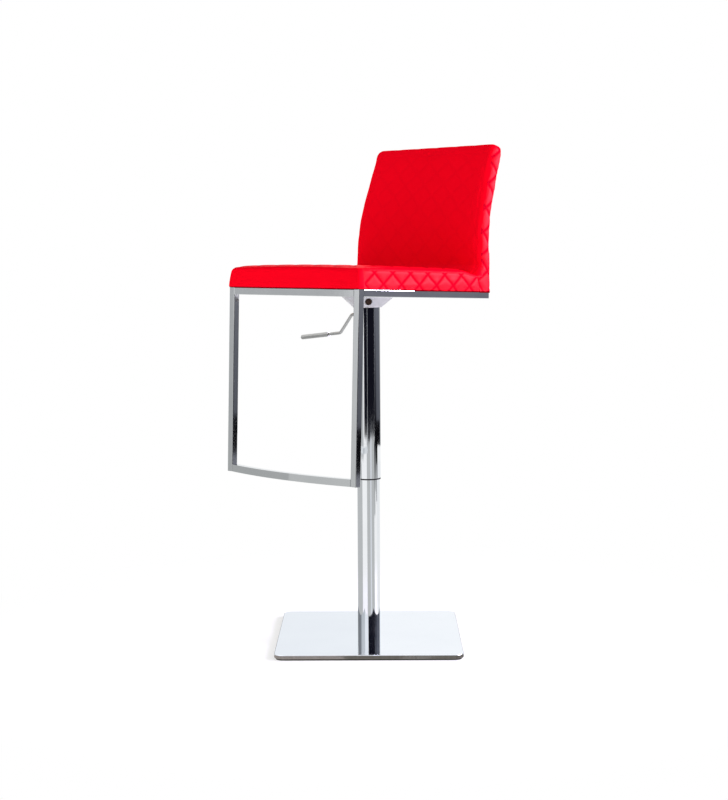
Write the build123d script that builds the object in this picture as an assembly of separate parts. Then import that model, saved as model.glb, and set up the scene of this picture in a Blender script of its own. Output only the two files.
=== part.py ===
from build123d import *
import os
from math import cos, radians, sin, tan

# Adjustable swivel stool: a square plate foot, a gas-sprung telescopic column, a chromed square-tube frame
# with a footrest loop, and a quilted seat and back. Millimetres, +Z up, origin on the floor on the column's
# axis. The seat faces -Y, so the sitter's left is +X. Radii end in _R, thicknesses in _T, heights in _H.

# Fits, all on the radius or on one side
SEATED = 0.05
RUNNING = 0.08
CLEAR = 0.3

# Foot
MAT_T = 3
MAT_INSET = 4
PLATE_SIDE = 400
PLATE_T = 9
PLATE_CORNER_R = 20
PLATE_EDGE_R = 1.5
FOOT_TURN = 41.7
BASE_BOLT_R = 6
BASE_BOLT_HEAD_R = 12
BASE_BOLT_L = 22

# Lower column and what stands in it
COLUMN_R = 25
COLUMN_WALL = 2
PLUG_H = 28
PLUG_FLOOR_T = 16
PLUG_CAVITY_R = 15
SPRING_SEAT_T = 5
BUSH_L = 70
BUSH_FLANGE_T = 3
BUSH_FLANGE_INSET = 0.4

# Thrust bearing under the gas spring's rod
RACE_R = 13
RACE_T = 2
BALL_R = 2
BALL_COUNT = 10
BALL_PITCH_R = 9
CAGE_T = 1.6
CAGE_RIM = 1

# Gas spring
STROKE = 210
ROD_R = 5
SPIGOT_R = 4
CLIP_R = 7.5
CLIP_GROOVE_R = 3.2
CLIP_T = 1.4
CLIP_DEPTH = 6
BUMP_R = 11
BUMP_H = 20
BUMP_GAP = 2
CYLINDER_R = 14
CYLINDER_WALL = 2
CYLINDER_END_T = 16
TAPER_L = 51
TAPER_DROP = 0.8
GLAND_H = 12
ROD_SEAL_H = 3
PISTON_H = 16
PISTON_GAP = 1
PISTON_GROOVE_DEPTH = 2
PISTON_GROOVE_H = 4
PISTON_NUT_R = 8
PISTON_NUT_H = 5
VALVE_R = 3
VALVE_HEAD_R = 5
VALVE_HEAD_H = 4
VALVE_TAIL_L = 10

# Seat height, tilt and the pressed dish that carries the seat
SEAT_Z = 771
SEAT_TILT = 2
DISH_SIDE = 150
DISH_T = 3
DISH_DEPTH = 38
DISH_TOP_R = 64
DISH_LIP_W = 5
DISH_BOLT_EDGE = 15
DISH_BOLT_R = 4
DISH_BOLT_HEAD_R = 7.5
DISH_BOLT_HEAD_H = 5.3
HUB_GAP = 12
HUB_TOP_DROP = 15
BOSS_DROP = 25
BOSS_R = 7.5
BOSS_L = 15
BOSS_TURN = 45
HUB_BOLT_HEAD_R = 6.3
HUB_BOLT_HEAD_H = 7
HUB_BOLT_R = 4
HUB_BOLT_L = 28

# Sleeve that hides the gas spring
SLEEVE_GAP = 1
SLEEVE_WALL = 1
SLEEVE_OVERLAP = 71
WIPER_LIP_H = 3
WIPER_SPIGOT_H = 9
SLEEVE_SCREW_R = 2.5
SLEEVE_SCREW_L = 7
SLEEVE_SCREW_DROP = 43

# Height lever, bent in the plane Y = 0, with its drops counted from its straight inner end
LEVER_DROP = 17
LEVER_R = 3.5
LEVER_INNER_X = 4
LEVER_PIVOT_X = -19
LEVER_KNEE_X = -46
LEVER_ELBOW_X = -81
LEVER_ELBOW_DROP = 41.5
LEVER_TIP_X = -200
LEVER_TIP_DROP = 55
LEVER_BEND_R = 11
LEVER_TRAVEL = 8
LEVER_PIN_R = 1.5
LEVER_PIN_L = 28
GRIP_X = -116
GRIP_R = 5.3
GRIP_END_T = 4
VALVE_TOP_DROP = 10

# Seat frame of square tube, in the seat's own tilted axes: across, fore and aft, and up from the frame's top
TUBE = 15
TUBE_WALL = 1.5
TUBE_EDGE_R = 1.5
FRAME_W = 376
FRAME_FRONT = -233
FRAME_REAR = 188
FOOTREST_DROP = 396
FOOTREST_BOW = 22
CROSS_BAR_W = 40
CROSS_BAR_T = 6
TAB_SIDE = 40
TAB_T = 3

# Seat pad
COVER_T = 1.5
SEAT_H = 48
SEAT_OVERHANG_X = 1
SEAT_OVERHANG_Y = 2
SEAT_CORNER_R = 8
SEAT_TOP_R = 7.5
SEAT_BACK_GAP = 0.5
BOARD_T = 12
BOARD_INSET = 6
BOARD_CORNER_R = 8
TEE_NUT_R = 5.2
TEE_NUT_FLANGE_R = 9
TEE_NUT_FLANGE_T = 1.5
TEE_NUT_L = 9
SCREW_R = 2
SCREW_HEAD_R = 4
SCREW_HEAD_H = 2.5
BOARD_SCREW_L = 12
BOARD_SCREW_EDGE = 20

# Back pad: upright at its foot, then an arc, then a straight lean to the rear
BACK_OVERHANG = 4
BACK_T = 35
BACK_BEND_W = 105
BACK_BEND_R = 318
BACK_LEAN = 17.4
BACK_STRAIGHT_L = 120
BACK_INSET = 0.5
BACK_TAPER = 13.5
BACK_TAPER_FOOT = 60
BACK_CORNER_R = 14
UPRIGHT_DEPTH = 9
UPRIGHT_T = 5
UPRIGHT_W = 30
UPRIGHT_X = 110
UPRIGHT_STRAIGHT_L = 30
BACK_BOARD_T = 9
BACK_BOARD_EDGE = 19
BACK_BOARD_FOOT_W = 20
BACK_BOARD_STRAIGHT_L = 100
BACK_SCREW_W = (45, 85)
BACK_SCREW_L = 11

# Heights worked out from the floor up
plate_top = MAT_T + PLATE_T
spring_seat_z = plate_top + PLUG_H
lower_race_z = spring_seat_z + SPRING_SEAT_T
ball_z = lower_race_z + RACE_T + SEATED + BALL_R
upper_race_z = ball_z + BALL_R + SEATED
rod_z = upper_race_z + RACE_T
bump_top = rod_z + BUMP_H
cylinder_bottom = bump_top + BUMP_GAP + STROKE
piston_z = cylinder_bottom + GLAND_H + ROD_SEAL_H + PISTON_GAP

# Heights worked out from the seat down
dish_lip_z = SEAT_Z - DISH_DEPTH
lever_z = dish_lip_z - LEVER_DROP
cylinder_top = lever_z - VALVE_TOP_DROP
hub_bottom = cylinder_top - TAPER_L
hub_top = SEAT_Z - HUB_TOP_DROP
boss_z = SEAT_Z - BOSS_DROP
column_top = hub_bottom - HUB_GAP - STROKE - BUSH_FLANGE_T
sleeve_bottom = column_top - SLEEVE_OVERLAP

# Radii and sides that two or more pieces share
column_bore_r = COLUMN_R - COLUMN_WALL
cylinder_bore_r = CYLINDER_R - CYLINDER_WALL
sleeve_bore_r = COLUMN_R + SLEEVE_GAP
sleeve_r = sleeve_bore_r + SLEEVE_WALL
hub_r = sleeve_bore_r - SEATED
dish_lip_r = hub_r + SEATED + DISH_LIP_W
boss_reach = hub_r + BOSS_L
piston_r = cylinder_bore_r - RUNNING
piston_groove_r = piston_r - PISTON_GROOVE_DEPTH
side_out = FRAME_W / 2
side_in = side_out - TUBE
front_in = FRAME_FRONT + TUBE
rear_in = FRAME_REAR - TUBE
back_rear = FRAME_REAR + BACK_OVERHANG
back_half_w = side_out - BACK_INSET
back_top_half_w = back_half_w - BACK_TAPER
back_board_half_w = back_top_half_w - BACK_BOARD_EDGE
seat_front = FRAME_FRONT - SEAT_OVERHANG_Y
seat_rear = back_rear - BACK_T - SEAT_BACK_GAP
seat_half_w = side_out + SEAT_OVERHANG_X
bolt_edge = DISH_SIDE / 2 - DISH_BOLT_EDGE
bolt_places = [(x, y) for x in (-bolt_edge, bolt_edge) for y in (-bolt_edge, bolt_edge)]
board_rear = seat_rear - BOARD_INSET
screw_x = side_in - BOARD_SCREW_EDGE
screw_places = [(x, y) for x in (-screw_x, screw_x)
                for y in (front_in + BOARD_SCREW_EDGE, board_rear - BOARD_SCREW_EDGE / 2)]
tilt = Pos(0, 0, SEAT_Z) * Rot(-SEAT_TILT, 0, 0)


def disc(radius, low, high):
    """An upright round bar on the column's axis."""
    return Pos(0, 0, low) * Cylinder(radius, high - low, align=(Align.CENTER, Align.CENTER, Align.MIN))


def ring(inner, outer, low, high):
    """An upright round tube on the column's axis."""
    return disc(outer, low, high) - disc(inner, low, high)


def turned(*outline):
    """A solid of revolution about Z from its half outline of (radius, height) points."""
    half = make_face(Polyline(*[(r, 0, z) for r, z in outline], close=True))
    return revolve(half, Axis.Z)


def block(low, high):
    """A box between two opposite corners."""
    size = [b - a for a, b in zip(low, high)]
    middle = [(a + b) / 2 for a, b in zip(low, high)]
    return Pos(*middle) * Box(*size)


def square_tube(low, high, run, closed_low=0, closed_high=0):
    """Square tube between two corners along one axis, with each end open unless a wall is given for it."""
    axis = (Axis.X, Axis.Y, Axis.Z)[run]
    outer = block(low, high)
    outer = fillet(outer.edges().filter_by(axis), TUBE_EDGE_R)
    hollow_low = [a + (closed_low if i == run else TUBE_WALL) for i, a in enumerate(low)]
    hollow_high = [b - (closed_high if i == run else TUBE_WALL) for i, b in enumerate(high)]
    return outer - block(hollow_low, hollow_high)


def headed(head_r, head_h, shank_r, length):
    """A round-headed screw along +Z, with the underside of its head at the origin."""
    return disc(head_r, -head_h, 0) + disc(shank_r, 0, length)


def group(solids):
    """Several separate solids as one node."""
    return Compound([s.solid() for s in solids])


def around(count, make):
    """Copies of a solid spaced evenly about the column's axis."""
    return [Rot(0, 0, 360 * i / count) * make for i in range(count)]


def floor_mat():
    side = PLATE_SIDE - 2 * MAT_INSET
    sheet = extrude(RectangleRounded(side, side, PLATE_CORNER_R - MAT_INSET), MAT_T)
    return Rot(0, 0, FOOT_TURN) * sheet


def base_bolt(gap=0):
    """A countersunk bolt from below; with a gap it is the hole that the bolt passes through."""
    head_r = BASE_BOLT_HEAD_R + gap
    shank_r = BASE_BOLT_R + gap
    neck_z = MAT_T + BASE_BOLT_HEAD_R - BASE_BOLT_R
    end_z = MAT_T + BASE_BOLT_L
    return turned((0, MAT_T), (head_r, MAT_T), (shank_r, neck_z), (shank_r, end_z), (0, end_z))


def base_plate():
    plate = extrude(RectangleRounded(PLATE_SIDE, PLATE_SIDE, PLATE_CORNER_R), PLATE_T)
    rims = plate.faces().sort_by(Axis.Z)[-1].edges() + plate.faces().sort_by(Axis.Z)[0].edges()
    plate = Pos(0, 0, MAT_T) * Rot(0, 0, FOOT_TURN) * fillet(rims, PLATE_EDGE_R)
    return plate - base_bolt(SEATED)


def column_tube():
    return ring(column_bore_r, COLUMN_R, plate_top, column_top)


def column_plug():
    """A cup in the column's foot: the base bolt screws into its floor, and the rod's clip turns inside."""
    cup = disc(column_bore_r - SEATED, plate_top, spring_seat_z)
    cup -= disc(PLUG_CAVITY_R, plate_top + PLUG_FLOOR_T, spring_seat_z)
    return cup - base_bolt(SEATED)


def spring_seat():
    return ring(SPIGOT_R + RUNNING, column_bore_r - SEATED, spring_seat_z, lower_race_z)


def guide_bush():
    sleeve = ring(CYLINDER_R + RUNNING, column_bore_r - SEATED, column_top - BUSH_L, column_top)
    flange_r = COLUMN_R - BUSH_FLANGE_INSET
    return sleeve + ring(CYLINDER_R + RUNNING, flange_r, column_top, column_top + BUSH_FLANGE_T)


def bearing_balls():
    return group(around(BALL_COUNT, Pos(BALL_PITCH_R, 0, ball_z) * Sphere(BALL_R)))


def bearing_cage():
    reach = BALL_R + CAGE_RIM
    cage = ring(BALL_PITCH_R - reach, BALL_PITCH_R + reach, ball_z - CAGE_T / 2, ball_z + CAGE_T / 2)
    for pocket in around(BALL_COUNT, Pos(BALL_PITCH_R, 0, ball_z) * Sphere(BALL_R + RUNNING)):
        cage -= pocket
    return cage


def piston_rod():
    """The rod stands on the bearing by its shoulder, a clip holds it down, and the piston is at its top."""
    groove_z = spring_seat_z - CLEAR - CLIP_T
    foot_z = spring_seat_z - CLIP_DEPTH
    nut_top = piston_z + PISTON_H + PISTON_NUT_H
    rod = disc(SPIGOT_R, foot_z, rod_z) + disc(ROD_R, rod_z, piston_z) + disc(SPIGOT_R, piston_z, nut_top)
    return rod - ring(CLIP_GROOVE_R, SPIGOT_R, groove_z, groove_z + CLIP_T)


def rod_clip():
    groove_z = spring_seat_z - CLEAR - CLIP_T
    clip = ring(CLIP_GROOVE_R + SEATED, CLIP_R, groove_z, groove_z + CLIP_T)
    mouth = block((0, -CLIP_GROOVE_R, groove_z), (CLIP_R, CLIP_GROOVE_R, groove_z + CLIP_T))
    return clip - mouth


def piston_groove():
    middle = piston_z + PISTON_H / 2
    return middle - PISTON_GROOVE_H / 2, middle + PISTON_GROOVE_H / 2


def piston():
    body = ring(SPIGOT_R + SEATED, piston_r, piston_z, piston_z + PISTON_H)
    return body - ring(piston_groove_r, piston_r, *piston_groove())


def piston_seal():
    low, high = piston_groove()
    return ring(piston_groove_r + SEATED, piston_r, low + SEATED, high - SEATED)


def piston_nut():
    low = piston_z + PISTON_H
    nut = Pos(0, 0, low) * extrude(RegularPolygon(PISTON_NUT_R, 6), PISTON_NUT_H)
    return nut - disc(SPIGOT_R + SEATED, low, low + PISTON_NUT_H)


def gas_cylinder():
    """The pressure tube: open at its foot for the gland, tapered at its head and bored for the valve pin."""
    bore_top = cylinder_top - CYLINDER_END_T
    valve_bore_r = VALVE_R + RUNNING
    return turned(
        (cylinder_bore_r, cylinder_bottom),
        (CYLINDER_R, cylinder_bottom),
        (CYLINDER_R, hub_bottom),
        (CYLINDER_R - TAPER_DROP, cylinder_top),
        (valve_bore_r, cylinder_top),
        (valve_bore_r, bore_top),
        (cylinder_bore_r, bore_top),
    )


def rod_gland():
    return ring(ROD_R + RUNNING, cylinder_bore_r - SEATED, cylinder_bottom, cylinder_bottom + GLAND_H)


def rod_seal():
    low = cylinder_bottom + GLAND_H
    return ring(ROD_R + RUNNING, cylinder_bore_r - SEATED, low, low + ROD_SEAL_H)


def valve_pin():
    """A domed pin under the lever's inner end, with a valve head inside the gas space."""
    head_top = cylinder_top - CYLINDER_END_T - CLEAR
    dome_z = lever_z - LEVER_R - CLEAR - VALVE_R
    pin = disc(VALVE_R, head_top - VALVE_TAIL_L, dome_z) + Pos(0, 0, dome_z) * Sphere(VALVE_R)
    return pin + disc(VALVE_HEAD_R, head_top - VALVE_HEAD_H, head_top)


def lever_slot(side_gap):
    """The room that the lever's inner end sweeps, opening to -X, through the hub and the sleeve."""
    drop = (LEVER_INNER_X - LEVER_PIVOT_X) * tan(radians(LEVER_TRAVEL)) + 2 * CLEAR
    rise = (sleeve_r + LEVER_PIVOT_X) * tan(radians(LEVER_TRAVEL)) + 2 * CLEAR
    half = LEVER_R + side_gap
    end_x = LEVER_INNER_X + LEVER_R
    low = (-sleeve_r - CLEAR, -half, lever_z - LEVER_R - drop)
    return block(low, (end_x, half, lever_z + LEVER_R + rise))


def radial(shape, z):
    """Turns a solid made along +Z so that it points out from the axis at the boss's angle."""
    return Pos(0, 0, z) * Rot(0, 0, BOSS_TURN - 90) * Rot(0, 90, 0) * shape


def hub_bolt():
    """A cap bolt along its own +Z, with the underside of its head at the end of the boss."""
    head = disc(HUB_BOLT_HEAD_R, boss_reach, boss_reach + HUB_BOLT_HEAD_H)
    return head + disc(HUB_BOLT_R, boss_reach - HUB_BOLT_L, boss_reach)


def seat_hub():
    """A turned hub: a taper bore for the cylinder, the lever's slot, and two bosses for the set bolts."""
    hub = disc(hub_r, hub_bottom, hub_top)
    for boss in around(2, radial(disc(BOSS_R, 0, boss_reach), boss_z)):
        hub += boss
    taper = turned(
        (0, hub_bottom),
        (CYLINDER_R + SEATED, hub_bottom),
        (CYLINDER_R - TAPER_DROP + SEATED, cylinder_top),
        (CYLINDER_R - TAPER_DROP + SEATED, cylinder_top + CLEAR),
        (0, cylinder_top + CLEAR),
    )
    hub -= taper
    hub -= disc(VALVE_R + 2 * CLEAR, cylinder_top, lever_z)
    hub -= lever_slot(CLEAR)
    hub -= Pos(LEVER_PIVOT_X, 0, lever_z) * Rot(90, 0, 0) * Cylinder(LEVER_PIN_R + SEATED, LEVER_PIN_L)
    for hole in around(2, radial(disc(HUB_BOLT_R + SEATED, boss_reach - HUB_BOLT_L, boss_reach), boss_z)):
        hub -= hole
    return hub - sleeve_screw(SEATED)


def hub_bolts():
    return group(around(2, radial(hub_bolt(), boss_z)))


def seat_dish():
    """A pressed square flange with a cone below it that stands on the hub, in the seat's tilted axes."""
    flange_top = -CROSS_BAR_T
    flange_low = flange_top - DISH_T
    lip_low = -DISH_DEPTH - 2 * DISH_T
    cone = turned(
        (0, lip_low),
        (dish_lip_r, lip_low),
        (dish_lip_r, -DISH_DEPTH),
        (DISH_TOP_R, flange_low),
        (DISH_TOP_R, flange_top),
        (dish_lip_r, -DISH_DEPTH + DISH_T),
        (0, -DISH_DEPTH + DISH_T),
    )
    half = DISH_SIDE / 2
    flange = block((-half, -half, flange_low), (half, half, flange_top))
    flange -= disc(DISH_TOP_R, flange_low, flange_top)
    for x, y in bolt_places:
        flange -= Pos(x, y, 0) * disc(DISH_BOLT_R + CLEAR, flange_low, flange_top)
    dish = tilt * (cone + flange)
    dish -= disc(hub_r + SEATED, hub_bottom, hub_top)
    dish -= disc(2 * dish_lip_r, hub_bottom, dish_lip_z)
    for hole in around(2, radial(disc(BOSS_R + CLEAR, 0, DISH_TOP_R), boss_z)):
        dish -= hole
    return dish


def dish_bolts():
    top = -CROSS_BAR_T - DISH_T
    length = BOARD_T + TEE_NUT_FLANGE_T - top
    head = Pos(0, 0, top - DISH_BOLT_HEAD_H) * extrude(RegularPolygon(DISH_BOLT_HEAD_R, 6), DISH_BOLT_HEAD_H)
    bolt = head + disc(DISH_BOLT_R, top, top + length)
    return group([tilt * Pos(x, y, 0) * bolt for x, y in bolt_places])


def sleeve_screw(gap=0):
    """A set screw from the rear through the sleeve into the hub, or the hole for it."""
    low = sleeve_r - SLEEVE_SCREW_L
    screw = disc(SLEEVE_SCREW_R + gap, low, sleeve_r)
    return Pos(0, 0, dish_lip_z - SLEEVE_SCREW_DROP) * Rot(-90, 0, 0) * screw


def sleeve():
    tube = ring(sleeve_bore_r, sleeve_r, sleeve_bottom, dish_lip_z)
    return tube - lever_slot(2 * CLEAR) - sleeve_screw(SEATED)


def sleeve_wiper():
    lip = ring(COLUMN_R + RUNNING, sleeve_r, sleeve_bottom - WIPER_LIP_H, sleeve_bottom)
    return lip + ring(COLUMN_R + CLEAR, sleeve_bore_r - SEATED, sleeve_bottom, sleeve_bottom + WIPER_SPIGOT_H)


def lever_point(x, drop):
    return Vector(x, 0, lever_z - drop)


def lever_rod():
    """Round bar with two bends, drilled for its pivot pin."""
    elbow = lever_point(LEVER_ELBOW_X, LEVER_ELBOW_DROP)
    tip = lever_point(LEVER_TIP_X, LEVER_TIP_DROP)
    end = tip - (tip - elbow).normalized() * (GRIP_END_T + CLEAR)
    knee = lever_point(LEVER_KNEE_X, 0)
    path = FilletPolyline(lever_point(LEVER_INNER_X, 0), knee, elbow, end, radius=LEVER_BEND_R)
    section = Plane(origin=path @ 0, z_dir=path % 0) * Circle(LEVER_R)
    rod = sweep(section, path=path)
    pivot = Pos(LEVER_PIVOT_X, 0, lever_z) * Rot(90, 0, 0) * Cylinder(LEVER_PIN_R + RUNNING, 4 * LEVER_R)
    return rod - pivot


def lever_grip():
    """A tube slipped over the rod's last straight run, closed and rounded at its tip."""
    elbow = lever_point(LEVER_ELBOW_X, LEVER_ELBOW_DROP)
    tip = lever_point(LEVER_TIP_X, LEVER_TIP_DROP)
    run = tip - elbow
    start = elbow + run * ((GRIP_X - LEVER_ELBOW_X) / (LEVER_TIP_X - LEVER_ELBOW_X))
    length = (tip - start).length
    grip = disc(GRIP_R, 0, length)
    grip = fillet(grip.edges().sort_by(Axis.Z)[-1], LEVER_R / 2)
    grip -= disc(LEVER_R + SEATED, 0, length - GRIP_END_T)
    return Plane(origin=start, z_dir=run) * grip


def lever_pin():
    return Pos(LEVER_PIVOT_X, 0, lever_z) * Rot(90, 0, 0) * Cylinder(LEVER_PIN_R, LEVER_PIN_L)


def side_rail(side):
    x = sorted((side * side_in, side * side_out))
    return tilt * square_tube((x[0], front_in, -TUBE), (x[1], FRAME_REAR, 0), 1, closed_high=TUBE_WALL)


def leg(side):
    x = sorted((side * side_in, side * side_out))
    low = (x[0], FRAME_FRONT, -FOOTREST_DROP)
    return tilt * square_tube(low, (x[1], front_in, 0), 2, closed_low=TUBE_WALL)


def end_rail(front, rear):
    return tilt * square_tube((-side_in, front, -TUBE), (side_in, rear, 0), 0)


def footrest_bar():
    """Square tube bowed forward in plan between the legs' inner faces."""
    arc_r = (side_in**2 + FOOTREST_BOW**2) / (2 * FOOTREST_BOW)
    centre_y = FRAME_FRONT - FOOTREST_BOW + arc_r
    low = -FOOTREST_DROP
    high = low + TUBE
    span = block((-side_in, 2 * FRAME_FRONT, low), (side_in, 0, high))
    bow = ring(arc_r - TUBE, arc_r, low, high)
    bow -= ring(arc_r - TUBE + TUBE_WALL, arc_r - TUBE_WALL, low + TUBE_WALL, high - TUBE_WALL)
    return tilt * (Pos(0, centre_y, 0) * bow & span)


def cross_bar(y):
    half = CROSS_BAR_W / 2
    bar = block((-side_in, y - half, -CROSS_BAR_T), (side_in, y + half, 0))
    for x, place_y in bolt_places:
        if place_y == y:
            bar -= Pos(x, y, 0) * disc(DISH_BOLT_R + CLEAR, -CROSS_BAR_T, 0)
    return tilt * bar


def corner_tabs():
    """Four plates welded into the frame's corners for the seat board's screws."""
    tabs = []
    for x, y in screw_places:
        x_side = side_in if x > 0 else -side_in
        y_side = rear_in if y > 0 else front_in
        inner_x = x_side - TAB_SIDE if x > 0 else x_side + TAB_SIDE
        inner_y = y - BOARD_SCREW_EDGE / 2 if y > 0 else y_side + TAB_SIDE
        xs = sorted((x_side, inner_x))
        ys = sorted((y_side, inner_y))
        tab = block((xs[0], ys[0], -TAB_T), (xs[1], ys[1], 0))
        tabs.append(tilt * (tab - Pos(x, y, 0) * disc(SCREW_R + CLEAR, -TAB_T, 0)))
    return group(tabs)


def seat_board():
    half_w = side_out - BOARD_INSET
    front = FRAME_FRONT + BOARD_INSET
    outline = RectangleRounded(2 * half_w, board_rear - front, BOARD_CORNER_R)
    board = Pos(0, (front + board_rear) / 2, 0) * extrude(outline, BOARD_T)
    for x, y in bolt_places:
        board -= Pos(x, y, 0) * disc(TEE_NUT_R + SEATED, 0, BOARD_T)
    for x, y in screw_places:
        board -= Pos(x, y, 0) * disc(SCREW_R + SEATED, 0, BOARD_SCREW_L - TAB_T)
    return tilt * board


def board_screws():
    screw = Pos(0, 0, -TAB_T) * headed(SCREW_HEAD_R, SCREW_HEAD_H, SCREW_R, BOARD_SCREW_L)
    return group([tilt * Pos(x, y, 0) * screw for x, y in screw_places])


def tee_nuts():
    barrel = ring(DISH_BOLT_R + SEATED, TEE_NUT_R, BOARD_T - TEE_NUT_L, BOARD_T)
    nut = barrel + ring(DISH_BOLT_R + SEATED, TEE_NUT_FLANGE_R, BOARD_T, BOARD_T + TEE_NUT_FLANGE_T)
    return group([tilt * Pos(x, y, 0) * nut for x, y in bolt_places])


def seat_pad(inset):
    """The pad's outside, or the foam inside its cover when inset, in the seat's own axes."""
    half_w = seat_half_w - inset
    pad = block((-half_w, seat_front + inset, 0), (half_w, seat_rear - inset, SEAT_H - inset))
    pad = fillet(pad.edges().filter_by(Axis.Z).sort_by(Axis.Y)[:2], SEAT_CORNER_R - inset)
    rim = pad.faces().sort_by(Axis.Z)[-1].edges().sort_by(Axis.Y)[:-1]
    return fillet(rim, SEAT_TOP_R - inset)


def seat_foam():
    half_w = side_out - BOARD_INSET + CLEAR
    front = FRAME_FRONT + BOARD_INSET - CLEAR
    pocket = block((-half_w, front, 0), (half_w, board_rear + CLEAR, BOARD_T + CLEAR))
    foam = seat_pad(COVER_T) - pocket
    for x, y in bolt_places:
        foam -= Pos(x, y, 0) * disc(TEE_NUT_FLANGE_R + CLEAR, 0, BOARD_T + TEE_NUT_FLANGE_T + CLEAR)
    return tilt * foam


def seat_cover():
    return tilt * (seat_pad(0) - seat_pad(COVER_T))


def back_line(depth, straight):
    """Three points of the back's side view at a depth from its rear face: bend start, bend end and top."""
    centre_y = back_rear + BACK_BEND_R
    radius = BACK_BEND_R + depth
    lean = radians(BACK_LEAN)
    start = Vector(0, centre_y - radius, BACK_BEND_W)
    middle = Vector(0, centre_y - radius * cos(lean / 2), BACK_BEND_W + radius * sin(lean / 2))
    end = Vector(0, centre_y - radius * cos(lean), BACK_BEND_W + radius * sin(lean))
    top = end + Vector(0, sin(lean), cos(lean)) * straight
    return start, middle, end, top


def back_slab(rear_depth, front_depth, foot, straight, half_w):
    """A slab that follows the back's side view between two depths, from its foot to its top."""
    edges = []
    for depth in (rear_depth, front_depth):
        start, middle, end, top = back_line(depth, straight)
        edges += [Line((0, start.Y, foot), start), ThreePointArc(start, middle, end), Line(end, top)]
    edges += [Line(edges[0] @ 0, edges[3] @ 0), Line(edges[2] @ 1, edges[5] @ 1)]
    return extrude(make_face(edges), half_w, dir=(1, 0, 0), both=True)


def back_pad(inset):
    """The back's outside, or the foam inside its cover when inset, narrowing to its rounded top corners."""
    slab = back_slab(inset, BACK_T - inset, 0, BACK_STRAIGHT_L - inset, back_half_w)
    top = slab.bounding_box().max.Z
    slope = (back_half_w - back_top_half_w) / (top + inset - BACK_TAPER_FOOT)
    half_w = back_half_w - inset
    top_half_w = half_w - slope * (top - BACK_TAPER_FOOT)
    right = [(half_w, 0), (half_w, BACK_TAPER_FOOT), (top_half_w, top)]
    left = [(-x, z) for x, z in reversed(right)]
    outline = make_face(Polyline(*[(x, 0, z) for x, z in right + left], close=True))
    pad = slab & extrude(outline, 2 * back_rear, dir=(0, 1, 0), both=True)
    cap = pad.faces().sort_by(Axis.Z)[-1]
    corners = [e for e in cap.edges() if abs(e.center().X) > back_top_half_w / 2]
    return fillet(corners, BACK_CORNER_R - inset)


def back_foam():
    """The back's foam with room inside for the board, the uprights and their screw heads."""
    board_front = UPRIGHT_DEPTH + UPRIGHT_T + BACK_BOARD_T
    foam = back_pad(COVER_T)
    foam -= back_slab(UPRIGHT_DEPTH + UPRIGHT_T - CLEAR, board_front + CLEAR, BACK_BOARD_FOOT_W - CLEAR,
                      BACK_BOARD_STRAIGHT_L + CLEAR, back_board_half_w + CLEAR)
    channel = back_slab(UPRIGHT_DEPTH - CLEAR, UPRIGHT_DEPTH + UPRIGHT_T, 0, UPRIGHT_STRAIGHT_L + CLEAR,
                        UPRIGHT_W / 2 + CLEAR)
    for side in (-1, 1):
        foam -= Pos(side * UPRIGHT_X, 0, 0) * channel
    for place in back_screw_places():
        foam -= place * disc(SCREW_HEAD_R + CLEAR, -SCREW_HEAD_H - CLEAR, 0)
    return tilt * foam


def back_cover():
    return tilt * (back_pad(0) - back_pad(COVER_T))


def back_screw_places():
    """Where the uprights' screws sit, each pointing forward from the upright's rear face."""
    y = back_rear - UPRIGHT_DEPTH
    return [Pos(side * UPRIGHT_X, y, w) * Rot(90, 0, 0) for side in (-1, 1) for w in BACK_SCREW_W]


def back_upright(side):
    strip = back_slab(UPRIGHT_DEPTH, UPRIGHT_DEPTH + UPRIGHT_T, 0, UPRIGHT_STRAIGHT_L, UPRIGHT_W / 2)
    strip = Pos(side * UPRIGHT_X, 0, 0) * strip
    for place in back_screw_places():
        strip -= place * disc(SCREW_R + SEATED, 0, UPRIGHT_T)
    return tilt * strip


def back_board():
    rear = UPRIGHT_DEPTH + UPRIGHT_T
    board = back_slab(rear, rear + BACK_BOARD_T, BACK_BOARD_FOOT_W, BACK_BOARD_STRAIGHT_L, back_board_half_w)
    for place in back_screw_places():
        board -= place * disc(SCREW_R + SEATED, 0, BACK_SCREW_L)
    return tilt * board


def back_screws():
    screw = headed(SCREW_HEAD_R, SCREW_HEAD_H, SCREW_R, BACK_SCREW_L)
    return group([tilt * place * screw for place in back_screw_places()])


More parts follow.
